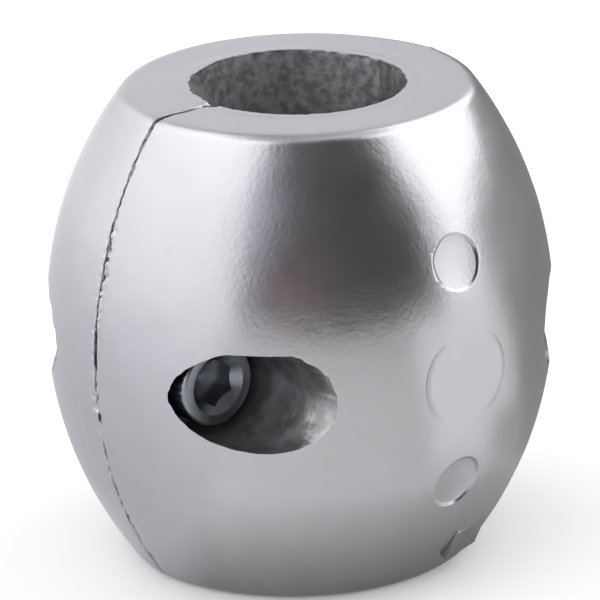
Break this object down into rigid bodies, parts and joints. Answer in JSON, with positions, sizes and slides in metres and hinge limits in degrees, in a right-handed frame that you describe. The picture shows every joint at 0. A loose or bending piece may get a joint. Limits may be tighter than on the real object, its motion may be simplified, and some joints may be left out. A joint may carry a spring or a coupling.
{
  "type": "split collar sacrificial anode",
  "caption": "Barrel-shaped split zinc collar that clamps round a propeller shaft with socket head screws sunk in side pockets.",
  "frame": {"origin": "on the shaft axis, midway between the two flat ends", "axes": "+Z along the shaft axis, +X across the parting line through the right screw, -Y out of the crown of the front half"},
  "size_m": [0.062, 0.0586, 0.057],
  "materials": {
    "cast_zinc": "satin die-cast zinc with a fine flow texture and small pits",
    "screw_steel": "plain stainless steel, dull and slightly dark",
    "nut_steel": "plain stainless steel"
  },
  "bodies": {
    "root": {"front_half": "cast_zinc", "rear_half": "cast_zinc", "left_screw": "screw_steel", "right_screw": "screw_steel", "left_nut": "nut_steel", "right_nut": "nut_steel"}
  },
  "joints": []
}
